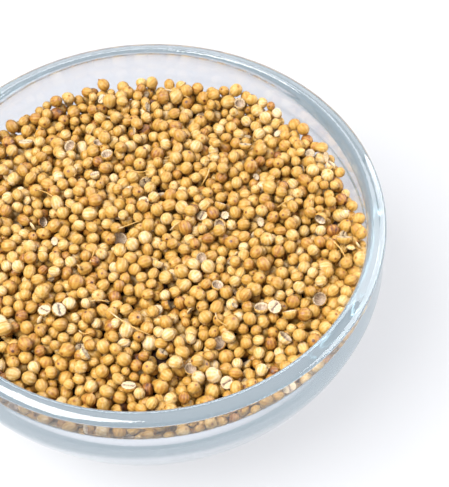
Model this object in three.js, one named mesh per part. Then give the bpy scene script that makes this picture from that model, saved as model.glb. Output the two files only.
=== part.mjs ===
// A clear glass bowl filled with whole coriander seeds.
// Millimetres, +Z up. The origin is the centre of the bowl's flat base.

import * as THREE from 'three';
import { ConvexHull } from 'three/addons/math/ConvexHull.js';

// ---- Driving dimensions ----

// Bowl
const BOWL_HEIGHT = 60;
const RIM_RADIUS = 70; // widest line of the rounded lip
const RIM_DROP = 2; // widest line of the lip below its top
const INNER_DROP = 5; // how far down the lip's inner side is rounded
const LIP_TOP_RADIUS = 66.3; // highest line of the lip
const LIP_HEIGHT = 3;
const MOUTH_RADIUS = 64.6; // inner edge of the lip
const NECK_RADIUS = 69.1; // outside, just under the lip
const BELT_RADIUS = 70.2; // outside, where the wall starts to curve in
const BELT_HEIGHT = 44;
const BASE_RADIUS = 37; // flat on which the bowl stands
const OUTER_POWER = 1.46; // roundness of the outside below the belt
const INNER_BELT_RADIUS = 65.3;
const INNER_BELT_HEIGHT = 49.4; // the inside curves in first, so the wall is thicker lower down
const INNER_FLOOR_RADIUS = 30;
const FLOOR_THICKNESS = 5.8;
const INNER_POWER = 1.69; // roundness of the inside below its belt
const BOWL_SEGMENTS = 56; // facets round the bowl
const WALL_STEPS = 7; // steps down each curved wall
const LIP_STEPS = 3; // steps on each side of the lip's top

// Heap of seeds
const SEED_LEVEL = 48.8; // top of the seeds at the wall
const CROWN = 2.8; // rise of the heap at its middle
const SHOULDER = 2.4; // rounding where the top of the heap meets the wall
const WALL_GAP = 0.6; // from the heap to the true curve of the glass, whose flats lie nearer
const SEED_SPACING = 4.1; // from seed to seed
const RELIEF_LOW = 38.5; // below this height the relief is coarser
const COARSE_DENSITY = 0.11; // bumps there, as a share of those above
const HOLLOW_DEPTH = 1.75; // from the top of a seed to the hollow between it and its neighbours
const UNEVENNESS = 0.8; // of the height of the small seeds on top
const JITTER = 0.3; // sideways unevenness, as a share of the spacing
const ROUND_COUNT = 250; // large seeds with a rounded top, among the small ones
const ROUND_REACH = 62; // how far out they lie
const ROUND_LARGEST = 5.0;
const ROUND_SMALLEST = 3.9;
const ROUND_STAND = 0.55; // how much higher a large seed stands
const RING_SHARE = 0.64; // where its rounded top ends, from its middle to the hollow

const GOLDEN_ANGLE = Math.PI * (3 - Math.sqrt(5));

// ---- Small helpers ----

// A repeatable source of numbers from 0 to 1.
function seededRandom(seed) {
  let state = seed;
  return function next() {
    state = (state + 0x6d2b79f5) | 0;
    let t = Math.imul(state ^ (state >>> 15), 1 | state);
    t = (t + Math.imul(t ^ (t >>> 7), 61 | t)) ^ t;
    return ((t ^ (t >>> 14)) >>> 0) / 4294967296;
  };
}

// A quarter of a superellipse, from the vertical wall at `belt` down to the flat at `foot`.
// `belt` and `foot` are points (radius, height); both ends of the curve are included.
function curvedWall(belt, foot, power, steps) {
  const points = [];
  for (let i = 0; i <= steps; i += 1) {
    const turn = (i / steps) * (Math.PI / 2);
    const across = Math.cos(turn) ** (2 / power);
    const down = Math.sin(turn) ** (2 / power);
    points.push(new THREE.Vector2(
      foot.x + (belt.x - foot.x) * across,
      belt.y + (foot.y - belt.y) * down,
    ));
  }
  return points;
}

// ---- Glass bowl ----

function outsideWall(steps) {
  const belt = new THREE.Vector2(BELT_RADIUS, BELT_HEIGHT);
  const foot = new THREE.Vector2(BASE_RADIUS, 0);
  return curvedWall(belt, foot, OUTER_POWER, steps);
}

function insideWall(steps) {
  const belt = new THREE.Vector2(INNER_BELT_RADIUS, INNER_BELT_HEIGHT);
  const foot = new THREE.Vector2(INNER_FLOOR_RADIUS, FLOOR_THICKNESS);
  return curvedWall(belt, foot, INNER_POWER, steps);
}

// The rounded lip, from the neck outside, over the top, to the mouth inside.
function lip() {
  const points = [];
  const outer = RIM_RADIUS - LIP_TOP_RADIUS;
  const inner = LIP_TOP_RADIUS - MOUTH_RADIUS;
  points.push(new THREE.Vector2(NECK_RADIUS, BOWL_HEIGHT - LIP_HEIGHT));
  for (let i = 0; i <= LIP_STEPS * 2; i += 1) {
    const turn = (i / (LIP_STEPS * 2)) * Math.PI;
    const outside = turn < Math.PI / 2;
    const reach = outside ? outer : inner;
    const drop = outside ? RIM_DROP : INNER_DROP;
    points.push(new THREE.Vector2(
      LIP_TOP_RADIUS + reach * Math.cos(turn),
      BOWL_HEIGHT - drop + drop * Math.sin(turn),
    ));
  }
  return points;
}

function bowlGeometry() {
  const profile = [
    new THREE.Vector2(0, 0),
    ...outsideWall(WALL_STEPS).reverse(),
    ...lip(),
    ...insideWall(WALL_STEPS),
    new THREE.Vector2(0, FLOOR_THICKNESS),
  ];
  const geometry = new THREE.LatheGeometry(profile, BOWL_SEGMENTS);
  geometry.rotateX(Math.PI / 2); // the lathe turns about Y
  return geometry;
}

// ---- Heap of seeds ----

// The heap's section, from the middle of its top, out to the wall and down to the middle of its floor.
// It runs over the tops of the seeds.
function heapSection() {
  const points = [];
  const topSteps = 40;
  const shoulderSteps = 6;
  const wallSteps = 60;
  const belt = new THREE.Vector2(INNER_BELT_RADIUS - WALL_GAP, INNER_BELT_HEIGHT);
  const foot = new THREE.Vector2(INNER_FLOOR_RADIUS - WALL_GAP, FLOOR_THICKNESS + WALL_GAP);
  const wall = curvedWall(belt, foot, INNER_POWER, wallSteps);
  const side = wall.filter((point) => point.y < SEED_LEVEL - SHOULDER);
  const reach = side[0].x;
  const flat = reach - SHOULDER;
  for (let i = 0; i <= topSteps; i += 1) {
    const radius = (flat * i) / topSteps;
    const fall = (radius / reach) ** 2;
    points.push(new THREE.Vector2(radius, SEED_LEVEL + CROWN * (1 - fall)));
  }
  const top = points[points.length - 1].y;
  for (let i = 1; i <= shoulderSteps; i += 1) {
    const turn = (i / shoulderSteps) * (Math.PI / 2);
    points.push(new THREE.Vector2(
      flat + SHOULDER * Math.sin(turn),
      top - SHOULDER * (1 - Math.cos(turn)),
    ));
  }
  points.push(...side);
  points.push(new THREE.Vector2(0, foot.y));
  return points;
}

// Walks the section and turns a share of the skin's area, from 0 to 1, into a place on the section.
// The area below RELIEF_LOW counts for less, so that fewer seeds fall there. `walked` is the share
// of the section's length up to the place.
function sectionWalker(section) {
  const lengths = [0];
  const areas = [0];
  for (let i = 1; i < section.length; i += 1) {
    const step = section[i].distanceTo(section[i - 1]);
    const middle = section[i].clone().add(section[i - 1]).multiplyScalar(0.5);
    const density = middle.y < RELIEF_LOW ? COARSE_DENSITY : 1;
    lengths.push(lengths[i - 1] + step);
    areas.push(areas[i - 1] + 2 * Math.PI * middle.x * step * density);
  }
  const totalLength = lengths[lengths.length - 1];
  const totalArea = areas[areas.length - 1];

  function placeAt(share) {
    const wanted = share * totalArea;
    let i = 1;
    while (i < section.length - 1 && areas[i] < wanted) {
      i += 1;
    }
    const part = (wanted - areas[i - 1]) / (areas[i] - areas[i - 1]);
    const point = section[i - 1].clone().lerp(section[i], part);
    const along = section[i].clone().sub(section[i - 1]).normalize();
    return {
      radius: point.x,
      height: point.y,
      normal: new THREE.Vector2(-along.y, along.x),
      walked: (lengths[i - 1] + (lengths[i] - lengths[i - 1]) * part) / totalLength,
    };
  }

  return { placeAt, totalArea };
}

// Spreads the seeds over the skin on a golden-angle spiral, with some unevenness. `foot` is where
// the seed meets the skin, and `onSphere` is that place with the skin drawn out to a unit sphere.
function spreadSeeds(random) {
  const { placeAt, totalArea } = sectionWalker(heapSection());
  const seedArea = SEED_SPACING ** 2 * Math.sqrt(3) / 2;
  const count = Math.round(totalArea / seedArea);
  const seeds = [];
  for (let i = 0; i < count; i += 1) {
    const place = placeAt((i + 0.5) / count);
    const sideways = (random() - 0.5) * 2 * JITTER * SEED_SPACING;
    const turn = i * GOLDEN_ANGLE + sideways / Math.max(place.radius, SEED_SPACING);
    const outward = new THREE.Vector3(Math.cos(turn), Math.sin(turn), 0);
    const normal = outward.clone().multiplyScalar(place.normal.x);
    normal.z = place.normal.y;
    const foot = outward.clone().multiplyScalar(place.radius);
    foot.z = place.height;
    const polar = place.walked * Math.PI;
    const onSphere = outward.clone().multiplyScalar(Math.sin(polar));
    onSphere.z = Math.cos(polar);
    seeds.push({ foot, normal, onSphere });
  }
  return seeds;
}

// The larger seeds on top of the heap, with their sizes. Each is the seed nearest to a point of
// a coarser spiral, which spreads them evenly. The largest come first.
function roundSeeds(seeds) {
  const sizes = new Map();
  for (let i = 0; i < ROUND_COUNT; i += 1) {
    const slot = (i * 101) % ROUND_COUNT; // mixes the sizes over the heap
    const radius = ROUND_REACH * Math.sqrt((slot + 0.5) / ROUND_COUNT);
    const turn = slot * GOLDEN_ANGLE;
    const wanted = new THREE.Vector3(radius * Math.cos(turn), radius * Math.sin(turn), SEED_LEVEL + CROWN);
    const size = THREE.MathUtils.lerp(ROUND_LARGEST, ROUND_SMALLEST, i / (ROUND_COUNT - 1));
    const seed = nearestSeed(seeds, wanted);
    if (!sizes.has(seed)) {
      sizes.set(seed, size);
    }
  }
  return sizes;
}

function nearestSeed(seeds, point) {
  let nearest = seeds[0];
  for (const seed of seeds) {
    if (seed.foot.distanceToSquared(point) < nearest.foot.distanceToSquared(point)) {
      nearest = seed;
    }
  }
  return nearest;
}

// Joins each seed to those next to it. The neighbours are found on a sphere, where the hull of
// the seeds' places is a net of triangles. Each face lists its three seeds and, for each of its
// edges, the face beyond it.
function neighbourNet(seeds) {
  const hull = new ConvexHull().setFromPoints(seeds.map((seed) => seed.onSphere));
  const seedAt = new Map(seeds.map((seed) => [seed.onSphere, seed]));
  const numberOf = new Map(hull.faces.map((face, i) => [face, i]));
  return hull.faces.map((face) => {
    const corners = [];
    let edge = face.edge;
    do {
      corners.push({ seed: seedAt.get(edge.tail().point), beyond: numberOf.get(edge.twin.face) });
      edge = edge.next;
    } while (edge !== face.edge);
    return corners;
  });
}

// The bottom of the hollow between three seeds.
function hollowBetween(corners) {
  const middle = new THREE.Vector3();
  const normal = new THREE.Vector3();
  for (const { seed } of corners) {
    middle.add(seed.foot);
    normal.add(seed.normal);
  }
  return middle.divideScalar(corners.length).addScaledVector(normal.normalize(), -HOLLOW_DEPTH);
}

// A point where the rounded top of a large seed ends, towards one of the hollows beside it.
function ringPoint(seed, peak, hollow, size) {
  const across = hollow.clone().sub(peak).projectOnPlane(seed.normal).multiplyScalar(RING_SHARE);
  const radius = size / 2;
  const reach = Math.min(across.length(), radius * 0.9);
  const drop = radius - Math.sqrt(radius ** 2 - reach ** 2);
  return peak.clone().add(across).addScaledVector(seed.normal, -drop);
}

// The heap's skin: a peak for each seed and a hollow between each three neighbours. A small seed
// is a low peak of a few faces, and a large one has a ring of points that rounds its top.
function heapGeometry() {
  const random = seededRandom(20);
  const seeds = spreadSeeds(random);
  const sizes = roundSeeds(seeds);
  const net = neighbourNet(seeds);
  const vertices = [];
  const triangles = [];

  function addVertex(point) {
    vertices.push(point);
    return vertices.length - 1;
  }

  const peaks = new Map();
  for (const seed of seeds) {
    const upward = Math.max(seed.normal.z, 0);
    const lift = sizes.has(seed) ? ROUND_STAND : (random() - 0.7) * UNEVENNESS;
    peaks.set(seed, addVertex(seed.foot.clone().addScaledVector(seed.normal, lift * upward)));
  }
  const hollows = net.map((corners) => addVertex(hollowBetween(corners)));

  const rings = new Map();
  function ringVertex(seed, face) {
    const key = `${peaks.get(seed)} ${face}`;
    if (!rings.has(key)) {
      const peak = vertices[peaks.get(seed)];
      rings.set(key, addVertex(ringPoint(seed, peak, vertices[hollows[face]], sizes.get(seed))));
    }
    return rings.get(key);
  }

  net.forEach((corners, face) => {
    for (const { seed, beyond } of corners) {
      if (sizes.has(seed)) {
        const near = ringVertex(seed, beyond);
        const far = ringVertex(seed, face);
        triangles.push(peaks.get(seed), near, far);
        triangles.push(near, hollows[beyond], hollows[face]);
        triangles.push(near, hollows[face], far);
      } else {
        triangles.push(peaks.get(seed), hollows[beyond], hollows[face]);
      }
    }
  });

  const geometry = new THREE.BufferGeometry();
  const numbers = vertices.flatMap((vertex) => vertex.toArray());
  geometry.setAttribute('position', new THREE.Float32BufferAttribute(numbers, 3));
  geometry.setIndex(triangles);
  return geometry;
}

// ---- The part ----

function namedMesh(name, geometry, material) {
  geometry.computeVertexNormals();
  const mesh = new THREE.Mesh(geometry, material);
  mesh.name = name;
  return mesh;
}

const clearGlass = new THREE.MeshStandardMaterial({
  color: 0xdfe9ee,
  roughness: 0.04,
  metalness: 0,
  transparent: true,
  opacity: 0.35,
});

const seedHusk = new THREE.MeshStandardMaterial({
  color: 0xd9a557,
  roughness: 0.62,
  metalness: 0,
});

const dish = new THREE.Group();
dish.add(namedMesh('glass_bowl', bowlGeometry(), clearGlass));
dish.add(namedMesh('coriander_seeds', heapGeometry(), seedHusk));

export default dish;
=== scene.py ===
"""A clear glass bowl filled with whole dried coriander seeds, on a pale floor."""

import math

import bpy
import numpy as np
from mathutils import Matrix, Vector


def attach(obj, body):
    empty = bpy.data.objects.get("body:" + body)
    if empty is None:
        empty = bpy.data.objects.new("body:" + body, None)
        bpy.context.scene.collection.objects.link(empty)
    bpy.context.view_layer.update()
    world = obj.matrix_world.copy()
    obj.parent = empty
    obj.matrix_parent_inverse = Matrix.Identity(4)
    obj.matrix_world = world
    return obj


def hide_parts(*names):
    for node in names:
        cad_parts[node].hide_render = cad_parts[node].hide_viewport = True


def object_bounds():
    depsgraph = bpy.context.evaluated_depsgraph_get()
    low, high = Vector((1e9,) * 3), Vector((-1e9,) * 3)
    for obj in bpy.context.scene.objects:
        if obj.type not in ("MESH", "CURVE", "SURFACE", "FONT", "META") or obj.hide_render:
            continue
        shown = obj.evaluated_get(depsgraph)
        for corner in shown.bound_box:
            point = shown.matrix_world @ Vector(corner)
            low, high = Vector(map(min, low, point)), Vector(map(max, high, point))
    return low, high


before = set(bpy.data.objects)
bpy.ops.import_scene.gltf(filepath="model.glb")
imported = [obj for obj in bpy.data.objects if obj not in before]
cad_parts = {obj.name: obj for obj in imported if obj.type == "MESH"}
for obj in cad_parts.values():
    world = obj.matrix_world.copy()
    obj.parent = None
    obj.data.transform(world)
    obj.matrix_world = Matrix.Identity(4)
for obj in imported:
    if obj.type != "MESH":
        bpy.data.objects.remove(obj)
cad_low, cad_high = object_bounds()

MM = 0.001

# ---- Bowl, as built ----

BOWL_RADIUS = cad_high.x  # outside, where the wall starts to curve in
BOWL_HEIGHT = cad_high.z
RIM_RADIUS = 70.0 * MM  # widest line of the rounded lip
RIM_DROP = 2.0 * MM  # widest line of the lip below its top
INNER_DROP = 5.0 * MM  # how far down the lip's inner side is rounded
LIP_TOP_RADIUS = 66.3 * MM  # highest line of the lip
LIP_HEIGHT = 3.0 * MM  # from the top of the lip down to the neck
MOUTH_RADIUS = 64.6 * MM  # inner edge of the lip
NECK_RADIUS = 69.1 * MM  # outside, just under the lip
BELT_HEIGHT = 44.0 * MM  # where the outside starts to curve in
BASE_RADIUS = 37.0 * MM  # flat on which the bowl stands
OUTER_POWER = 1.46  # roundness of the outside below the belt
INNER_BELT_RADIUS = 65.3 * MM
INNER_BELT_HEIGHT = 49.4 * MM
INNER_FLOOR_RADIUS = 30.0 * MM
FLOOR_THICKNESS = 5.8 * MM
INNER_POWER = 1.69  # roundness of the inside below its belt
BOWL_SEGMENTS = 180
WALL_STEPS = 28  # rings down each curved wall
LIP_STEPS = 10  # rings on each side of the lip's top
STRAIGHT_STEPS = 8  # rings on each straight stretch, for even shading
UNDER_LIP_STEPS = 4
SMOOTH_ANGLE = math.radians(40)  # edges sharper than this stay sharp
GLASS_DENSITY = 19.0  # how strongly the glass tints, for each metre of it
GLASS_PAINTED_GLOW = 6.5  # painted light: glow that each metre of glass adds, though the glass is no lamp

# ---- Heap of seeds, as built ----

SEED_LEVEL = 48.8 * MM  # top of the seeds at the wall
CROWN = 2.8 * MM  # rise of the heap at its middle
UNEVEN = 0.6 * MM  # height of the low swells on top
SWELL_LENGTHS = (9 * MM, 7 * MM, 6 * MM)  # across, along and slantwise, for each radian
SWELL_PHASES = (1.3, 0.4)
SLANT_SHARE = 0.5  # height of the slanting swells, as a share of the others
TOP_LAYER = 8.4 * MM  # depth of the single seeds on top
SIDE_LAYER = 6.2 * MM  # and by the glass
WALL_CLEAR = 0.02 * MM  # from a seed to the glass
TINY = 1e-9

# ---- Sizes and packing of the seeds ----

SEED_MEAN = 3.6 * MM
SEED_SPREAD = 0.4 * MM
SEED_SMALLEST = 2.6 * MM
SEED_LARGEST = 4.6 * MM
FILL_SHARE = 0.62  # of the layer's volume that seeds take up
PLACES = 40000  # random places, more than the layer takes
BATCH_SIZE = 20000  # places drawn at a time
PACK_ROUNDS = 160
GROWING_ROUNDS = 50  # the first rounds, in which the seeds grow to their size
START_SIZE = 0.55  # share of its size that a seed starts with
GROWTH = 0.45  # share that it grows by
SINK = 0.03 * MM  # how far the seeds fall in a round
LAST_SINK = 0.006 * MM  # and in the last rounds
LAST_ROUNDS = 25
PAIR_ROUNDS = 4  # how often the pairs are looked for again
PAIR_MARGIN = 0.4 * MM
PUSHES = 3  # in each round
PUSH_SHARE = 0.7  # of an overlap that one push takes away
CORE_SHARE = 0.35  # of its radius that a seed may reach into the core
GRID_PITCH = 0.45 * MM  # of the view from above

# ---- Kinds of seed ----

# One draw from 0 to 1 gives each seed its kind, up to these values. The rest are plain.
SHELLS_TO = 0.03
HALVES_TO = 0.05
FLAKES_TO = 0.08
TIPPED_TO = 0.42
LONGER_TO = 0.6

SHOWS = 0.05  # share of a seed's disc that shows from above, for a seed on top
CLEAR = 0.35  # and for an open or broken one
LOWER_LEVEL = 30 * MM  # hidden seeds below this height are a piece of their own
STRETCH = 0.07  # unevenness of a seed's three widths
LEAN = 0.55  # how far open husks lean from upright
OPEN_GROWTH = 1.05
OPEN_LIFT = 0.12  # of its size that an open husk lies higher

# Tone of the husk, from 0, dark brown, to 1, pale straw: its mean and spread
GOLDEN_TONE = (0.6, 0.06)
TAN_TONE = (0.42, 0.05)
DARK_TONE = (0.22, 0.05)
PALE_TONE = (0.8, 0.06)
FLAKE_TONE = (0.9, 0.08)
STALK_TONE = (0.9, 0.06)
DARKEST = 0.08  # least tone
FLAKE_DARKEST = 0.6
STALK_DARKEST = 0.7

# Another draw from 0 to 1 gives each seed its tone, and those left over are golden.
DARK_TO = 0.015
TAN_TO = 0.12
PALE_FROM = 0.8

# ---- Seed shapes, at a diameter of 1 ----

SEED_SIDES = 12
FLAKE_SIDES = 8
STALK_SIDES = 6
HIDDEN_SIDES = 10  # seeds below the top
NARROWING = 0.6  # of a seed's width towards its tip, for its drawn-up height
SHELL_OUTSIDE = 0.5
SHELL_INSIDE = 0.42
SHELL_BETWEEN = 0.45  # parts the outside of a shell from its inside
SHELL_RIM = 0.03  # height from which the inside is its pale rim
FLAKE_INSIDE = 0.45
FLAKE_BETWEEN = 0.475  # parts the outside of a flake from its inside
SLIT_HALF_WIDTH = 0.02
SLIT_HALF_LENGTH = 0.35
SLIT_DEPTH = 0.12
SLIT_LOWEST = -0.2  # points below this are on the round side
FACE_LOWEST = -0.01  # points above this are on the flat side
ON_AXIS = 1e-5  # points nearer to the axis lie on it
AT_HEIGHT = 0.01  # points nearer to a height lie on it

# Shade of the inside of a husk: 0 is the outside, and the others are places on its ramp
OUTSIDE_SHADE = 0.0
# The slit's place on the ramp is dark brown: painted shade in its groove.
SLIT_PAINTED_SHADE = 0.4
HOLLOW_SHADE = 0.75
FLAKE_SHADE = 0.9
CUT_SHADE = 1.0

# ---- Stalks ----

# Long thin stalks on top: two ends (x, y) in mm
STALKS = (
    ((5, 59), (13, 55)),
    ((54, -4), (58, -13)),
    ((20, -29), (23, -35)),
    ((-10, -29), (2, -36)),
)
SHORT_STALKS = 12
SHORT_STALK_REACH = 42 * MM  # how far out their middles lie, in x and in y
SHORT_STALK_HALF = (1.6, 3.4)  # half their length in mm, least and most
STALK_THICKNESS = 0.45 * MM
STALK_WIDTH = 0.036  # of the modelled stalk, a quarter up, at a length of 1
STALK_AROUND = 0.9 * MM  # how far round its ends the stalk keeps above the seeds
STALK_FOOT = 0.2 * MM  # its lower end below the tops of the seeds
STALK_TIP = 0.3 * MM  # its upper end above them

# ---- Husk ----

RIBS = 10  # round a seed
RIB_WAVER = 0.9  # how far the ribs waver sideways, where a whole rib is 2 pi
RIB_RELIEF = 0.6  # height of the ribs, as a share of the grain's
BLOTCH_SCALE = 0.42 / MM  # blotches about 2.4 mm across
GRAIN_SCALE = 2.2 / MM  # grains about 0.45 mm across
RELIEF_HEIGHT = 0.08 * MM

# ---- Core, a dark piece in painted shade ----

CORE_SEGMENTS = 48
CORE_STEPS = 20
CORE_MARGIN = 1.0 * MM  # how far the core reaches in among the seeds
CORE_RISE = 0.6  # of its depth from the wall that its underside lies higher
CORE_RINGS = (55 * MM, 45 * MM, 30 * MM, 15 * MM)  # on its crowned top

# ---- Camera, fitted to the photograph ----

IMAGE_WIDTH = 449
IMAGE_HEIGHT = 487
RIM_CENTRE_PIXEL = (144.15, 212.4)
CAMERA_PITCH = math.radians(53.075)
CAMERA_ROLL = math.radians(-1.427)
CAMERA_DISTANCE = 391.06 * MM
LENS_MM = 100.0
SENSOR_MM = 36.0
CLIP_NEAR = 0.01
CLIP_FAR = 20

# ---- Light ----

# Name, place and size in metres, watts and colour. The cards show in the glass and in gloss,
# and give no light to matt surfaces.
SOFTBOX = ("softbox", (-0.6, -0.35, 1.2), (0.9, 0.9), 43, "fffdf8")
CARDS = (
    ("back_card", (0, 1.2, 0.6), (2.4, 0.5), 8, "f8fbff"),
    ("side_card", (1.1, 0.3, 0.5), (1.8, 1.0), 45, "f8fbff"),
    ("high_card", (0.25, 0.75, 1.05), (1.6, 0.35), 11, "f8fbff"),
)
BRIGHT_SIDE = (0.35, 0.7, 0.6)  # the way to the room's bright side: ahead, to the right and up
BRIGHT_RANGE = (-0.5, 0.6)  # from its dim side to its bright side, along that way
ROOM_STRENGTH = 0.8
FLOOR_SIZE = 6  # metres
GLASS_BOUNCES = 24
GLOSS_BOUNCES = 16


# ---- Small helpers ----

def linear(code, alpha=1.0):
    """A linear colour from an sRGB hex code such as "e5b35a"."""
    values = [int(code[i:i + 2], 16) / 255 for i in (0, 2, 4)]
    curve = [v / 12.92 if v <= 0.04045 else ((v + 0.055) / 1.055) ** 2.4 for v in values]
    return (*curve, alpha)


def add_node(tree, kind, settings=None, inputs=None, stops=()):
    """Adds a node. Settings are its properties. An input, by name or number, takes a value, a socket
    or a node's first output. Stops are the places and hex colours of a ramp, in rising order."""
    node = tree.nodes.new(kind)
    for name, value in (settings or {}).items():
        setattr(node, name, value)
    for name, value in (inputs or {}).items():
        if isinstance(value, bpy.types.Node):
            value = value.outputs[0]
        if isinstance(value, bpy.types.NodeSocket):
            tree.links.new(value, node.inputs[name])
        else:
            node.inputs[name].default_value = value
    for number, (place, code) in enumerate(stops):
        elements = node.color_ramp.elements
        element = elements[number] if number < 2 else elements.new(place)
        element.position = place
        element.color = linear(code)
    return node


def new_material(name):
    material = bpy.data.materials.new(name)
    material.use_nodes = True
    material.node_tree.nodes.clear()
    return material, material.node_tree


def deselect():
    if bpy.context.mode != "OBJECT":
        bpy.ops.object.mode_set(mode="OBJECT")
    bpy.ops.object.select_all(action="DESELECT")


def finish_piece(obj, node, material):
    obj.data.materials.append(material)
    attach(obj, "root")
    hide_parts(node)


# ---- Camera ----

def camera_axes():
    forward = Vector((0, math.cos(CAMERA_PITCH), -math.sin(CAMERA_PITCH)))
    level = Vector((1, 0, 0))
    upright = level.cross(forward)
    right = level * math.cos(CAMERA_ROLL) + upright * math.sin(CAMERA_ROLL)
    up = upright * math.cos(CAMERA_ROLL) - level * math.sin(CAMERA_ROLL)
    return right, up, forward


def make_camera():
    data = bpy.data.cameras.new("camera")
    data.lens = LENS_MM
    data.sensor_width = SENSOR_MM
    data.sensor_fit = "AUTO"
    data.clip_start = CLIP_NEAR
    data.clip_end = CLIP_FAR
    camera = bpy.data.objects.new("camera", data)
    bpy.context.scene.collection.objects.link(camera)
    right, up, forward = camera_axes()
    focal_pixels = LENS_MM / SENSOR_MM * max(IMAGE_WIDTH, IMAGE_HEIGHT)
    metres_per_pixel = CAMERA_DISTANCE / focal_pixels
    aside = (RIM_CENTRE_PIXEL[0] - IMAGE_WIDTH / 2) * metres_per_pixel
    below = (RIM_CENTRE_PIXEL[1] - IMAGE_HEIGHT / 2) * metres_per_pixel
    rim_centre = Vector((0, 0, BOWL_HEIGHT))
    place = rim_centre - forward * CAMERA_DISTANCE - right * aside + up * below
    turn = Matrix((right, up, -forward)).transposed().to_4x4()
    camera.matrix_world = Matrix.Translation(place) @ turn
    bpy.context.scene.camera = camera


# ---- Turned shapes ----

def extrude_rim(rise):
    bpy.ops.mesh.extrude_edges_move(TRANSFORM_OT_translate={"value": (0, 0, rise)})


def lathe(name, profile, segments):
    """A ring extruded along a profile of (radius, height) that starts and ends on the axis."""
    deselect()
    (_, first), (radius, height), *rest, (_, last) = [tuple(map(float, point)) for point in profile]
    bpy.ops.mesh.primitive_circle_add(vertices=segments, radius=radius, location=(0, 0, height))
    obj = bpy.context.object
    obj.name = name
    bpy.ops.object.transform_apply(location=True, rotation=False, scale=False)
    bpy.ops.object.mode_set(mode="EDIT")
    bpy.ops.mesh.select_mode(type="EDGE")
    bpy.ops.mesh.select_all(action="SELECT")
    extrude_rim(first - height)
    bpy.ops.mesh.merge(type="CENTER")
    bpy.ops.mesh.select_all(action="DESELECT")
    bpy.ops.mesh.select_non_manifold()
    for next_radius, next_height in rest:
        extrude_rim(next_height - height)
        grow = next_radius / radius
        bpy.ops.transform.resize(value=(grow, grow, 1), center_override=(0, 0, 0))
        radius, height = next_radius, next_height
    extrude_rim(last - height)
    bpy.ops.mesh.merge(type="CENTER")
    bpy.ops.mesh.select_all(action="SELECT")
    bpy.ops.mesh.normals_make_consistent(inside=False)
    bpy.ops.object.mode_set(mode="OBJECT")
    return obj


def move_points(obj, is_chosen, shift):
    """Moves the vertices whose place passes a test."""
    bpy.ops.object.mode_set(mode="EDIT")
    bpy.ops.mesh.select_mode(type="VERT")
    bpy.ops.mesh.select_all(action="DESELECT")
    bpy.ops.object.mode_set(mode="OBJECT")
    for vertex in obj.data.vertices:
        vertex.select = is_chosen(vertex.co)
    bpy.ops.object.mode_set(mode="EDIT")
    bpy.ops.transform.translate(value=shift)
    bpy.ops.object.mode_set(mode="OBJECT")


# ---- Bowl ----

def curved_wall(belt, foot, power, steps):
    """A quarter superellipse of (radius, height), from the upright wall at belt to the flat at foot."""
    turns = np.linspace(0, math.pi / 2, steps + 1)
    across = np.cos(turns).clip(0) ** (2 / power)
    down = np.sin(turns) ** (2 / power)
    radius = foot[0] + (belt[0] - foot[0]) * across
    height = belt[1] + (foot[1] - belt[1]) * down
    return np.column_stack([radius, height])


def straight(start, end, steps=STRAIGHT_STEPS):
    """Points from after start to end, close enough for even shading."""
    share = np.linspace(0, 1, steps + 1)[1:, None]
    return np.array(start) + (np.array(end) - np.array(start)) * share


def outside_wall():
    return curved_wall((BOWL_RADIUS, BELT_HEIGHT), (BASE_RADIUS, 0), OUTER_POWER, WALL_STEPS)


def inside_wall(steps=WALL_STEPS):
    foot = (INNER_FLOOR_RADIUS, FLOOR_THICKNESS)
    return curved_wall((INNER_BELT_RADIUS, INNER_BELT_HEIGHT), foot, INNER_POWER, steps)


def lip():
    """The rounded lip, from outside, over the top, to the mouth."""
    turns = np.linspace(0, math.pi, 2 * LIP_STEPS + 1)
    outer = RIM_RADIUS - LIP_TOP_RADIUS
    inner = LIP_TOP_RADIUS - MOUTH_RADIUS
    reach = np.where(turns < math.pi / 2, outer, inner)
    drop = np.where(turns < math.pi / 2, RIM_DROP, INNER_DROP)
    radius = LIP_TOP_RADIUS + reach * np.cos(turns)
    height = BOWL_HEIGHT - drop + drop * np.sin(turns)
    return np.column_stack([radius, height])


def bowl_profile():
    """From the middle of the underside, up the outside, over the lip and down to the floor's middle."""
    underside = [(0, 0)]
    floor = [(0, FLOOR_THICKNESS)]
    outside = outside_wall()[::-1]
    inside = inside_wall()
    edge = lip()
    neck = straight((BOWL_RADIUS, BELT_HEIGHT), (NECK_RADIUS, BOWL_HEIGHT - LIP_HEIGHT))
    under_lip = straight(neck[-1], edge[0], UNDER_LIP_STEPS)[:-1]
    mouth = straight(edge[-1], (INNER_BELT_RADIUS, INNER_BELT_HEIGHT))[:-1]
    return np.vstack([underside, outside, neck, under_lip, edge, mouth, inside, floor])


def clear_glass():
    """Pressed soda-lime glass, fire polished. It has sharp reflections, is nearly white where one looks
    straight through the wall, and turns blue-grey where one looks along it. The glow is painted light,
    standing in for the light that goes to and fro in the wall."""
    material, tree = new_material("clear_glass")
    surface = add_node(tree, "ShaderNodeBsdfPrincipled", inputs={
        "Base Color": linear("edeef3"), "Roughness": 0.0, "IOR": 1.5, "Transmission Weight": 1.0})
    tint = add_node(tree, "ShaderNodeVolumeAbsorption", inputs={
        "Color": linear("a2b3b9"), "Density": GLASS_DENSITY})
    # Painted light: the glass glows by itself, though it is no lamp.
    glow = add_node(tree, "ShaderNodeEmission", inputs={
        "Color": linear("c9d2d6"), "Strength": GLASS_PAINTED_GLOW})
    depth = add_node(tree, "ShaderNodeAddShader", inputs={0: tint, 1: glow})
    add_node(tree, "ShaderNodeOutputMaterial", inputs={"Surface": surface, "Volume": depth})
    return material


def make_bowl():
    bowl = lathe("clear_bowl", bowl_profile(), BOWL_SEGMENTS)
    bpy.ops.object.shade_smooth_by_angle(angle=SMOOTH_ANGLE)
    finish_piece(bowl, "glass_bowl", clear_glass())


# ---- Packing the seeds ----

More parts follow.
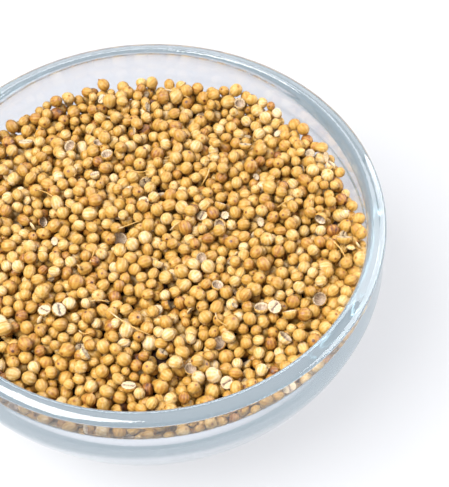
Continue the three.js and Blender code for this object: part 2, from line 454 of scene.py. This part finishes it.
def crown_height(points):
    """The level that the seeds are heaped to, with low swells."""
    x, y = points[..., 0], points[..., 1]
    radius = np.hypot(x, y)
    across, along, slantwise = SWELL_LENGTHS
    swell = np.sin(x / across + SWELL_PHASES[0]) * np.cos(y / along + SWELL_PHASES[1])
    swell = swell + np.sin((x + y) / slantwise) * SLANT_SHARE
    return SEED_LEVEL + CROWN * (1 - (radius / INNER_BELT_RADIUS) ** 2) + UNEVEN * swell


class Wall:
    """The inside of the glass, as a line in the plane of radius and height."""

    def __init__(self):
        mouth = [(MOUTH_RADIUS, BOWL_HEIGHT)]
        floor_middle = [(0.0, FLOOR_THICKNESS)]
        line = np.vstack([mouth, inside_wall(), floor_middle])
        self.start = line[:-1]
        self.step = line[1:] - line[:-1]
        self.length = (self.step ** 2).sum(1)

    def depth(self, points):
        """How far each point is from the glass, below zero in it, and the direction away from it."""
        radius = np.hypot(points[:, 0], points[:, 1])
        flat = np.column_stack([radius, points[:, 2]])
        best = np.full(len(points), np.inf)
        direction = np.zeros((len(points), 2))
        for start, step, length in zip(self.start, self.step, self.length):
            offset = flat - start
            share = (offset @ step / length).clip(0, 1)
            away = offset - share[:, None] * step
            distance = np.sqrt((away ** 2).sum(1))
            inward = np.array([step[1], -step[0]]) / math.sqrt(length)
            signed = np.where(away @ inward < 0, -distance, distance)
            closer = distance < np.abs(best)
            best[closer] = signed[closer]
            direction[closer] = inward
        outward = points[:, :2] / np.maximum(radius, TINY)[:, None]
        return best, np.column_stack([outward * direction[:, :1], direction[:, 1]])


def touching_pairs(points, reach):
    """Index pairs of points that lie within reach of each other, by a grid of cells."""
    cells = np.floor((points - points.min(0) + reach) / reach).astype(int)
    size = cells.max(0) + 2
    key = (cells[:, 0] * size[1] + cells[:, 1]) * size[2] + cells[:, 2]
    order = np.argsort(key, kind="stable")
    ordered = key[order]
    place = np.empty(len(points), int)
    place[order] = np.arange(len(points)) - np.searchsorted(ordered, ordered)
    capacity = place.max() + 1
    table = np.full((size.prod() + 1, capacity), -1)
    table[key, place] = np.arange(len(points))
    found = []
    for dx in (-1, 0, 1):
        for dy in (-1, 0, 1):
            for dz in (-1, 0, 1):
                other = key + (dx * size[1] + dy) * size[2] + dz
                near = table[other.clip(0, size.prod())].ravel()
                rows = np.repeat(np.arange(len(points)), capacity)
                later = near > rows
                rows, near = rows[later], near[later]
                gap = points[rows] - points[near]
                close = (gap ** 2).sum(1) < reach ** 2
                found.append(np.column_stack([rows[close], near[close]]))
    return np.vstack(found)


def push_apart(points, radii, pairs):
    """Moves each overlapping pair apart, by a share of the overlap."""
    i, j = pairs.T
    gap = points[i] - points[j]
    distance = np.sqrt((gap ** 2).sum(1)).clip(TINY)
    overlap = (radii[i] + radii[j] - distance).clip(0)
    move = gap * (0.5 * PUSH_SHARE * overlap / distance)[:, None]
    for axis in range(3):
        points[:, axis] += np.bincount(i, move[:, axis], len(points))
        points[:, axis] -= np.bincount(j, move[:, axis], len(points))


def keep_inside(points, radii, wall):
    """Keeps the seeds inside the glass and outside the heap's core."""
    depth, inward = wall.depth(points)
    short = (radii + WALL_CLEAR - depth).clip(0)
    points += inward * short[:, None]
    beyond_side = depth - (SIDE_LAYER - CORE_SHARE * radii)
    below_top = crown_height(points) - TOP_LAYER + CORE_SHARE * radii - points[:, 2]
    inside = (beyond_side > 0) & (below_top > 0)
    up = inside & (below_top <= beyond_side)
    points[up, 2] += below_top[up]
    aside = inside & ~up
    points[aside] -= inward[aside] * beyond_side[aside, None]


def shell_points(random, wall):
    """Random places between the glass and the core, below the heap's surface, and their volume."""
    kept = []
    total = 0
    tried = 0
    top = SEED_LEVEL + CROWN + 2 * UNEVEN
    while total < PLACES:
        batch = random.uniform(-1, 1, (BATCH_SIZE, 3)) * INNER_BELT_RADIUS
        batch[:, 2] = random.uniform(FLOOR_THICKNESS, top, len(batch))
        tried += len(batch)
        radius = np.hypot(batch[:, 0], batch[:, 1])
        batch = batch[(radius < INNER_BELT_RADIUS) & (batch[:, 2] < crown_height(batch))]
        depth, _ = wall.depth(batch)
        core = (depth > SIDE_LAYER) & (batch[:, 2] < crown_height(batch) - TOP_LAYER)
        batch = batch[(depth > 0) & ~core]
        kept.append(batch)
        total += len(batch)
    box = 4 * INNER_BELT_RADIUS ** 2 * (top - FLOOR_THICKNESS)
    return np.vstack(kept), box * total / tried


def pack_seeds(random, wall):
    """Settles seeds of uneven size in the shell between the glass and the core."""
    places, volume = shell_points(random, wall)
    one_seed = math.pi / 6 * (SEED_MEAN ** 3 + 3 * SEED_MEAN * SEED_SPREAD ** 2)
    count = int(volume * FILL_SHARE / one_seed)
    points = places[:count].copy()
    sizes = random.normal(SEED_MEAN, SEED_SPREAD, count).clip(SEED_SMALLEST, SEED_LARGEST)
    radii = sizes / 2
    for step in range(PACK_ROUNDS):
        grown = radii * min(1.0, START_SIZE + GROWTH * step / GROWING_ROUNDS)
        if step % PAIR_ROUNDS == 0:
            pairs = touching_pairs(points, SEED_LARGEST + PAIR_MARGIN)
        if step > PACK_ROUNDS - LAST_ROUNDS:
            points[:, 2] -= LAST_SINK
        elif step > GROWING_ROUNDS:
            points[:, 2] -= SINK
        for _ in range(PUSHES):
            push_apart(points, grown, pairs)
            keep_inside(points, grown, wall)
    return points, radii


class TopView:
    """The heap seen from straight above, on a fine grid: how high it is, and how much each seed shows."""

    def __init__(self, points, radii):
        reach = int(math.ceil(SEED_LARGEST / 2 / GRID_PITCH))
        self.half = int(INNER_BELT_RADIUS / GRID_PITCH) + 2 * reach
        self.height = np.full((2 * self.half, 2 * self.half), -1.0)
        owner = np.full(self.height.shape, -1)
        centre = np.round(points[:, :2] / GRID_PITCH).astype(int)
        for dx in range(-reach, reach + 1):
            for dy in range(-reach, reach + 1):
                cell = centre + (dx, dy)
                rest = radii ** 2 - ((cell * GRID_PITCH - points[:, :2]) ** 2).sum(1)
                index = np.flatnonzero(rest > 0)
                top = points[index, 2] + np.sqrt(rest[index])
                order = np.argsort(top)
                x, y = (cell[index[order]] + self.half).T
                higher = top[order] > self.height[x, y]
                self.height[x[higher], y[higher]] = top[order][higher]
                owner[x[higher], y[higher]] = index[order][higher]
        cells = np.bincount(owner[owner >= 0], minlength=len(points))
        self.share = cells * GRID_PITCH ** 2 / (math.pi * radii ** 2)

    def top_at(self, x, y, around):
        """The highest top within a square round a place."""
        i, j = (int(round(v / GRID_PITCH)) + self.half for v in (x, y))
        n = int(round(around / GRID_PITCH))
        return self.height[i - n:i + n + 1, j - n:j + n + 1].max()


# ---- Seed shapes, each modelled once at a diameter or length of 1 ----

def template(obj, inner=None):
    """The mesh of a modelled shape as arrays, and the shape's object removed. The UV goes once round
    the axis and from foot to tip."""
    deselect()
    mesh = obj.data
    points = np.zeros(len(mesh.vertices) * 3)
    mesh.vertices.foreach_get("co", points)
    points = points.reshape(-1, 3)
    faces = [tuple(polygon.vertices) for polygon in mesh.polygons]
    angle = np.arctan2(points[:, 1], points[:, 0]) / (2 * math.pi) % 1.0
    radius = np.hypot(points[:, 0], points[:, 1])
    polar = np.arctan2(radius, -points[:, 2]) / math.pi
    on_axis = radius < ON_AXIS
    corners = []
    for face in faces:
        around = {v: angle[v] for v in face if not on_axis[v]}
        if max(around.values()) - min(around.values()) > 0.5:
            around = {v: a + 1 if a < 0.5 else a for v, a in around.items()}
        middle = sum(around.values()) / len(around)
        corners.extend((around.get(v, middle), polar[v]) for v in face)
    shades = np.full(len(points), OUTSIDE_SHADE) if inner is None else inner(points)
    bpy.data.objects.remove(obj)
    return {"points": points, "faces": faces, "uv": np.array(corners), "inner": shades}


def arc(radius, degrees):
    """Points (radius, height) round a circle, by their angle up from its foot."""
    return [(radius * math.sin(a), -radius * math.cos(a)) for a in np.radians(degrees)]


def ball_profile(rings, drawn_up=0.0):
    """Half a circle from foot to tip, drawn up a little towards the tip."""
    turns = np.linspace(0, math.pi, rings + 1)
    rise = (turns / math.pi) ** 2 * drawn_up
    radius = 0.5 * np.sin(turns) * (1 - NARROWING * rise)
    return np.column_stack([radius, rise - 0.5 * np.cos(turns)])


def round_seed(segments, rings):
    """Nearly a ball."""
    return template(lathe("round_seed", ball_profile(rings), segments))


def tipped_seed():
    """A ball with the short pointed remains of its flower on top."""
    ball = ball_profile(7, 0.05)[:-2]
    nib = [(0.25, 0.46), (0.11, 0.53), (0.045, 0.6), (0, 0.66)]
    return template(lathe("tipped_seed", np.vstack([ball, nib]), SEED_SIDES))


def long_seed():
    """An egg, narrower to its tip."""
    return template(lathe("long_seed", ball_profile(6, 0.12), SEED_SIDES))


def half_shell():
    """An empty half of a husk, open at the top."""
    outside = arc(SHELL_OUTSIDE, [0, 30, 55, 78, 100])
    inside = arc(SHELL_INSIDE, [99, 70, 45, 22, 0])
    obj = lathe("half_shell", outside + inside, SEED_SIDES)

    def inner(points):
        radius = np.sqrt((points ** 2).sum(1))
        inside_shade = np.where(points[:, 2] > SHELL_RIM, CUT_SHADE, HOLLOW_SHADE)
        return np.where(radius > SHELL_BETWEEN, OUTSIDE_SHADE, inside_shade)

    return template(obj, inner)


def on_slit(point):
    """Whether a point of the cut half's flat side lies on its middle line."""
    x, y, z = point
    return abs(y) < SLIT_HALF_WIDTH and abs(x) < SLIT_HALF_LENGTH and z > SLIT_LOWEST


def cut_half():
    """A half seed with its flat side up, which has a slit along its middle, painted dark brown as painted
    shade.
    """
    outside = arc(SHELL_OUTSIDE, [0, 32, 60, 88])
    face = [(0.44, 0.0), (0.3, 0.02), (0.12, 0.03), (0, 0.02)]
    obj = lathe("cut_half", outside + face, SEED_SIDES)
    move_points(obj, on_slit, (0, 0, -SLIT_DEPTH))

    def inner(points):
        slit = [on_slit(point) for point in points]
        face_shade = np.where(points[:, 2] > FACE_LOWEST, CUT_SHADE, OUTSIDE_SHADE)
        # The slit gets the dark place on the ramp: painted shade in the groove.
        return np.where(slit, SLIT_PAINTED_SHADE, face_shade)

    return template(obj, inner)


def husk_flake():
    """A torn, curled bit of husk."""
    top = arc(SHELL_OUTSIDE, [0, 25, 50])
    under = arc(FLAKE_INSIDE, [49, 24, 0])
    obj = lathe("husk_flake", top + under, FLAKE_SIDES)

    def inner(points):
        radius = np.sqrt((points ** 2).sum(1))
        return np.where(radius > FLAKE_BETWEEN, OUTSIDE_SHADE, FLAKE_SHADE)

    return template(obj, inner)


def bent_stalk():
    """A thin stalk that tapers and curves."""
    profile = [(0, 0), (0.02, 0.0), (0.018, 0.25), (0.017, 0.5), (0.015, 0.75), (0.011, 1.0), (0, 1.0)]
    obj = lathe("bent_stalk", profile, STALK_SIDES)
    for height, aside in ((0.25, 0.05), (0.5, 0.07), (0.75, 0.045)):
        move_points(obj, lambda place: abs(place.z - height) < AT_HEIGHT, (aside, 0, 0))
    return template(obj)


# ---- Joined pieces ----

def random_turns(random, count):
    """Evenly random rotation matrices."""
    q = random.normal(size=(count, 4))
    q /= np.sqrt((q ** 2).sum(1))[:, None]
    w, x, y, z = q.T
    rows = [
        [1 - 2 * (y * y + z * z), 2 * (x * y - z * w), 2 * (x * z + y * w)],
        [2 * (x * y + z * w), 1 - 2 * (x * x + z * z), 2 * (y * z - x * w)],
        [2 * (x * z - y * w), 2 * (y * z + x * w), 1 - 2 * (x * x + y * y)],
    ]
    return np.array(rows).transpose(2, 0, 1)


def turns_towards(random, directions):
    """Rotation matrices that take +Z to each direction, with a random spin."""
    z = directions / np.sqrt((directions ** 2).sum(1))[:, None]
    x = np.cross(z, random.normal(size=z.shape))
    x /= np.sqrt((x ** 2).sum(1))[:, None]
    return np.stack([x, np.cross(z, x), z], axis=2)


def scatter(name, shape, batch, wall):
    """One joined mesh of a shape, repeated with the place, size, turn, stretch and tone of each seed."""
    count = len(batch["points"])
    base = shape["points"]
    local = base[None] * batch["stretch"][:, None, :] * batch["sizes"][:, None, None]
    placed = np.einsum("nij,nvj->nvi", batch["turns"], local) + batch["points"][:, None, :]
    flat = placed.reshape(-1, 3)
    depth, inward = wall.depth(flat)
    flat += inward * (WALL_CLEAR - depth).clip(0)[:, None]
    face_sizes = np.array([len(face) for face in shape["faces"]])
    loops = face_sizes.sum()
    corner = np.concatenate([np.array(face) for face in shape["faces"]])
    corners = (corner[None] + (np.arange(count) * len(base))[:, None]).ravel()
    starts = np.concatenate([[0], np.cumsum(face_sizes)[:-1]])
    starts = (starts[None] + (np.arange(count) * loops)[:, None]).ravel()
    mesh = bpy.data.meshes.new(name)
    mesh.vertices.add(len(flat))
    mesh.vertices.foreach_set("co", flat.astype(np.float32).ravel())
    mesh.loops.add(len(corners))
    mesh.loops.foreach_set("vertex_index", corners.astype(np.int32))
    mesh.polygons.add(len(starts))
    mesh.polygons.foreach_set("loop_start", starts.astype(np.int32))
    mesh.update(calc_edges=True)
    uv = mesh.uv_layers.new(name="husk")
    uv.data.foreach_set("uv", np.tile(shape["uv"], (count, 1)).astype(np.float32).ravel())
    labels = {"tone": np.repeat(batch["tones"], len(base)), "inside": np.tile(shape["inner"], count)}
    for label, values in labels.items():
        attribute = mesh.attributes.new(label, "FLOAT", "POINT")
        attribute.data.foreach_set("value", values.astype(np.float32))
    mesh.validate()
    obj = bpy.data.objects.new(name, mesh)
    bpy.context.scene.collection.objects.link(obj)
    deselect()
    obj.select_set(True)
    bpy.context.view_layer.objects.active = obj
    bpy.ops.object.shade_smooth()
    return obj


# ---- Husk ----

def dry_husk():
    """Dry coriander husk, satin and softly shining. Ribs run from foot to tip and catch the light. Each
    seed has its tone, from brown through gold to pale straw, with blotches, a dark scar at its foot and
    a mark at its tip. The inside of an open husk is a paler, greyer brown, with painted shade in the
    slit."""
    material, tree = new_material("dry_husk")
    tone = add_node(tree, "ShaderNodeAttribute", {"attribute_name": "tone"}).outputs["Fac"]
    inside = add_node(tree, "ShaderNodeAttribute", {"attribute_name": "inside"}).outputs["Fac"]
    uv = add_node(tree, "ShaderNodeUVMap", {"uv_map": "husk"})
    around, height, _ = add_node(tree, "ShaderNodeSeparateXYZ", inputs={0: uv}).outputs
    place = add_node(tree, "ShaderNodeTexCoord").outputs["Object"]
    blotch, grain = [
        add_node(tree, "ShaderNodeTexNoise", inputs={"Vector": place, "Scale": scale, "Detail": 2.0})
        for scale in (BLOTCH_SCALE, GRAIN_SCALE)
    ]

    multiply = {"operation": "MULTIPLY"}
    multiply_add = {"operation": "MULTIPLY_ADD"}
    sine = {"operation": "SINE"}
    waver = add_node(tree, "ShaderNodeMath", multiply, {0: blotch, 1: RIB_WAVER})
    turn = add_node(tree, "ShaderNodeMath", multiply_add, {0: around, 1: 2 * math.pi * RIBS, 2: waver})
    wave = add_node(tree, "ShaderNodeMath", sine, {0: turn})
    half_turn = add_node(tree, "ShaderNodeMath", multiply, {0: height, 1: math.pi})
    fade = add_node(tree, "ShaderNodeMath", sine, {0: half_turn})
    rib = add_node(tree, "ShaderNodeMath", multiply, {0: wave, 1: fade})

    # Soft steps, each from one pair of values to another
    soft = {}
    for name, pattern, (low, high), (to_low, to_high) in (
        ("foot_scar", height, (0.04, 0.10), (1.0, 0.0)),
        ("tip_mark", height, (0.90, 0.97), (0.0, 1.0)),
        ("blotches", blotch, (0.35, 0.65), (-0.14, 0.07)),
        ("grain", grain, (0.3, 0.7), (-0.07, 0.05)),
        ("inner_ribs", wave, (-0.9, 0.9), (0.0, 1.0)),
        ("inner_grain", grain, (0.3, 0.7), (-0.12, 0.02)),
        ("is_inside", inside, (0.15, 0.4), (0.0, 1.0)),
    ):
        soft[name] = add_node(tree, "ShaderNodeMapRange", {"interpolation_type": "SMOOTHSTEP"}, {
            "Value": pattern, "From Min": low, "From Max": high, "To Min": to_low, "To Max": to_high})

    # What each mark adds to a seed's tone, and to the shade of a husk's inside
    outer_marks = ((rib, 0.09), (soft["blotches"], 1.0), (soft["grain"], 1.0),
                   (soft["foot_scar"], -0.45), (soft["tip_mark"], -0.25))
    for mark, share in outer_marks:
        tone = add_node(tree, "ShaderNodeMath", multiply_add, {0: mark, 1: share, 2: tone})
    shade = inside
    for mark, share in ((soft["inner_ribs"], 0.12), (soft["inner_grain"], 1.0)):
        shade = add_node(tree, "ShaderNodeMath", multiply_add, {0: mark, 1: share, 2: shade})
    outer_colour = add_node(tree, "ShaderNodeValToRGB", inputs={"Fac": tone}, stops=(
        (0.0, "47230c"), (0.14, "77451a"), (0.3, "966525"), (0.5, "ab8136"), (0.66, "b68f49"),
        (0.82, "c0a26c"), (1.0, "cab594")))
    # The darkest stop, 50331c, is painted shade for the slit of a cut half.
    inner_colour = add_node(tree, "ShaderNodeValToRGB", inputs={"Fac": shade}, stops=(
        (0.4, "50331c"), (0.7, "947f6e"), (0.85, "ac9880"), (1.0, "c8b591")))
    colour = add_node(tree, "ShaderNodeMix", {"data_type": "RGBA"}, {
        "Factor": soft["is_inside"], 6: outer_colour, 7: inner_colour})

    relief = add_node(tree, "ShaderNodeMath", multiply_add, {0: rib, 1: RIB_RELIEF, 2: grain})
    bump = add_node(tree, "ShaderNodeBump", inputs={
        "Strength": 0.7, "Distance": RELIEF_HEIGHT, "Height": relief})
    surface = add_node(tree, "ShaderNodeBsdfPrincipled", inputs={
        "Base Color": colour.outputs[2], "Roughness": 0.44, "Specular IOR Level": 0.45, "Normal": bump})
    add_node(tree, "ShaderNodeOutputMaterial", inputs={"Surface": surface})
    return material


def painted_shade_husk():
    """Painted shade: a matt, nearly black colour for the heap's hidden core, standing in for the shade
    deep between the seeds, where hardly any light gets.
    """
    material, tree = new_material("painted_shade_husk")
    surface = add_node(tree, "ShaderNodeBsdfPrincipled", inputs={
        # Painted shade: nearly black brown in place of the shade deep in the heap.
        "Base Color": linear("2a1408"), "Roughness": 0.9})
    add_node(tree, "ShaderNodeOutputMaterial", inputs={"Surface": surface})
    return material


# ---- Heap ----

def make_core():
    """The heap's inside, which the outer seeds hide: a dark piece in painted shade, put where there is
    only shade.
    """
    deep = SIDE_LAYER - CORE_MARGIN
    top_level = SEED_LEVEL - TOP_LAYER
    side = inside_wall(CORE_STEPS)
    side = side[side[:, 1] < top_level]
    side = np.column_stack([side[:, 0] - deep, side[:, 1] + deep * CORE_RISE])[::-1]
    top = [(radius, top_level + CROWN * (1 - (radius / INNER_BELT_RADIUS) ** 2)) for radius in CORE_RINGS]
    profile = np.vstack([[(0, side[0, 1])], side, top, [(0, top_level + CROWN)]])
    core = lathe("heap_core", profile, CORE_SEGMENTS)
    bpy.ops.object.shade_smooth_by_angle(angle=SMOOTH_ANGLE)
    finish_piece(core, "coriander_seeds", painted_shade_husk())


def draw_tones(random, count):
    """A few dark and tan seeds, most golden, some pale, from 0 to 1."""
    draw = random.uniform(size=count)
    tones = random.normal(*GOLDEN_TONE, count)
    tones = np.where(draw < TAN_TO, random.normal(*TAN_TONE, count), tones)
    tones = np.where(draw < DARK_TO, random.normal(*DARK_TONE, count), tones)
    tones = np.where(draw > PALE_FROM, random.normal(*PALE_TONE, count), tones)
    return tones.clip(DARKEST, 1.0)


def make_stalks(random, view, wall, material):
    """Thin dry stalks lying on the seeds: the long ones, and short ones at random places."""
    ends = [(np.array(a) * MM, np.array(b) * MM) for a, b in STALKS]
    for _ in range(SHORT_STALKS):
        middle = random.uniform(-1, 1, 2) * SHORT_STALK_REACH
        heading = random.uniform(0, 2 * math.pi)
        way = np.array([math.cos(heading), math.sin(heading)])
        half = random.uniform(*SHORT_STALK_HALF) * MM * way
        ends.append((middle - half, middle + half))
    starts = []
    ways = []
    for a, b in ends:
        low = np.array([*a, view.top_at(*a, STALK_AROUND) - STALK_FOOT])
        high = np.array([*b, view.top_at(*b, STALK_AROUND) + STALK_TIP])
        starts.append(low)
        ways.append(high - low)
    ways = np.array(ways)
    lengths = np.sqrt((ways ** 2).sum(1))
    thick = STALK_THICKNESS / STALK_WIDTH
    batch = {
        "points": np.array(starts),
        "sizes": lengths,
        "turns": turns_towards(random, ways),
        "stretch": np.column_stack([thick / lengths, thick / lengths, np.ones(len(ways))]),
        "tones": random.normal(*STALK_TONE, len(ways)).clip(STALK_DARKEST, 1.0),
    }
    stalks = scatter("dry_stalks", bent_stalk(), batch, wall)
    finish_piece(stalks, "coriander_seeds", material)


def make_heap():
    """Packs the seeds, gives each its kind, and joins those of a kind in one mesh."""
    random = np.random.default_rng(7)
    wall = Wall()
    points, radii = pack_seeds(random, wall)
    view = TopView(points, radii)
    count = len(points)
    batch = {
        "points": points,
        "sizes": 2 * radii,
        "turns": random_turns(random, count),
        "stretch": 1 + random.normal(0, STRETCH, (count, 3)),
        "tones": draw_tones(random, count),
    }
    material = dry_husk()
    top = view.share > SHOWS
    clear = view.share > CLEAR
    draw = random.uniform(size=count)
    shells = clear & (draw < SHELLS_TO)
    halves = clear & (draw >= SHELLS_TO) & (draw < HALVES_TO)
    flakes = clear & (draw >= HALVES_TO) & (draw < FLAKES_TO)
    tipped = top & (draw >= FLAKES_TO) & (draw < TIPPED_TO)
    longer = top & (draw >= TIPPED_TO) & (draw < LONGER_TO)
    plain = top & (draw >= LONGER_TO) | top & ~clear & (draw < FLAKES_TO)
    lower = ~top & (points[:, 2] < LOWER_LEVEL)
    upper = ~top & ~lower
    upward = random.normal(0, LEAN, (count, 3)) + (0, 0, 1)
    facing = turns_towards(random, upward)
    groups = (
        ("round_seeds", round_seed(SEED_SIDES, 6), plain),
        ("tipped_seeds", tipped_seed(), tipped),
        ("long_seeds", long_seed(), longer),
        ("half_shells", half_shell(), shells),
        ("cut_halves", cut_half(), halves),
        ("husk_flakes", husk_flake(), flakes),
        ("seeds_below", round_seed(HIDDEN_SIDES, 5), upper),
        ("seeds_lower_down", round_seed(HIDDEN_SIDES, 5), lower),
    )
    for name, shape, chosen in groups:
        part = {label: values[chosen].copy() for label, values in batch.items()}
        if name in ("half_shells", "cut_halves"):
            part["turns"] = facing[chosen]
            part["sizes"] *= OPEN_GROWTH
            part["points"][:, 2] += OPEN_LIFT * part["sizes"]
        if name == "husk_flakes":
            part["tones"] = random.normal(*FLAKE_TONE, chosen.sum()).clip(FLAKE_DARKEST, 1.0)
        seeds = scatter(name, shape, part, wall)
        finish_piece(seeds, "coriander_seeds", material)
    make_stalks(random, view, wall, material)


# ---- Floor and light ----

def matt_paper():
    """White background paper, matt, and partly lit from itself, so that shadows on it stay faint."""
    material, tree = new_material("matt_paper")
    surface = add_node(tree, "ShaderNodeBsdfPrincipled", inputs={
        "Base Color": linear("757679"),
        "Roughness": 0.9,
        "Specular IOR Level": 0.0,
        "Emission Color": linear("fafbff"),
        "Emission Strength": 0.7,
    })
    add_node(tree, "ShaderNodeOutputMaterial", inputs={"Surface": surface})
    return material


def make_floor():
    deselect()
    bpy.ops.mesh.primitive_plane_add(size=FLOOR_SIZE, location=(0, 0, 0))
    floor = bpy.context.object
    floor.name = "floor"
    floor.data.materials.append(matt_paper())


def area_light(name, place, size, watts, colour):
    """A rectangular light aimed at the bowl."""
    data = bpy.data.lights.new(name, "AREA")
    data.shape = "RECTANGLE"
    data.size, data.size_y = size
    data.energy = watts
    data.color = linear(colour)[:3]
    light = bpy.data.objects.new(name, data)
    bpy.context.scene.collection.objects.link(light)
    way = Vector((0, 0, BOWL_HEIGHT)) - Vector(place)
    turn = way.to_track_quat("-Z", "Y").to_matrix().to_4x4()
    light.matrix_world = Matrix.Translation(place) @ turn
    return light


def make_lights():
    """A softbox from the left, and cards whose reflections whiten the edges of the glass."""
    area_light(*SOFTBOX)
    for card in CARDS:
        area_light(*card).visible_diffuse = False


def make_room():
    """A white room, brightest ahead, to the right and above, and dimmer and bluish behind the camera."""
    world = bpy.data.worlds.new("room")
    bpy.context.scene.world = world
    world.use_nodes = True
    tree = world.node_tree
    background = tree.nodes["Background"]
    way = add_node(tree, "ShaderNodeTexCoord").outputs["Generated"]
    ahead = add_node(tree, "ShaderNodeVectorMath", {"operation": "DOT_PRODUCT"}, {0: way, 1: BRIGHT_SIDE})
    bright = add_node(tree, "ShaderNodeMapRange", {"interpolation_type": "SMOOTHSTEP"}, {
        "Value": ahead.outputs["Value"], "From Min": BRIGHT_RANGE[0], "From Max": BRIGHT_RANGE[1]})
    colour = add_node(tree, "ShaderNodeValToRGB", inputs={"Fac": bright}, stops=(
        (0.0, "7d929e"), (0.3, "a9b8c2"), (0.7, "f4f7f9"), (1.0, "ffffff")))
    tree.links.new(colour.outputs["Color"], background.inputs["Color"])
    background.inputs["Strength"].default_value = ROOM_STRENGTH


def set_light_paths():
    """Plain colours, and enough bounces for light that goes in and out of the glass several times."""
    bpy.context.scene.view_settings.view_transform = "Standard"
    cycles = bpy.context.scene.cycles
    cycles.max_bounces = GLASS_BOUNCES
    cycles.transmission_bounces = GLASS_BOUNCES
    cycles.glossy_bounces = GLOSS_BOUNCES


make_camera()
make_floor()
make_room()
make_lights()
set_light_paths()
make_bowl()
make_core()
make_heap()
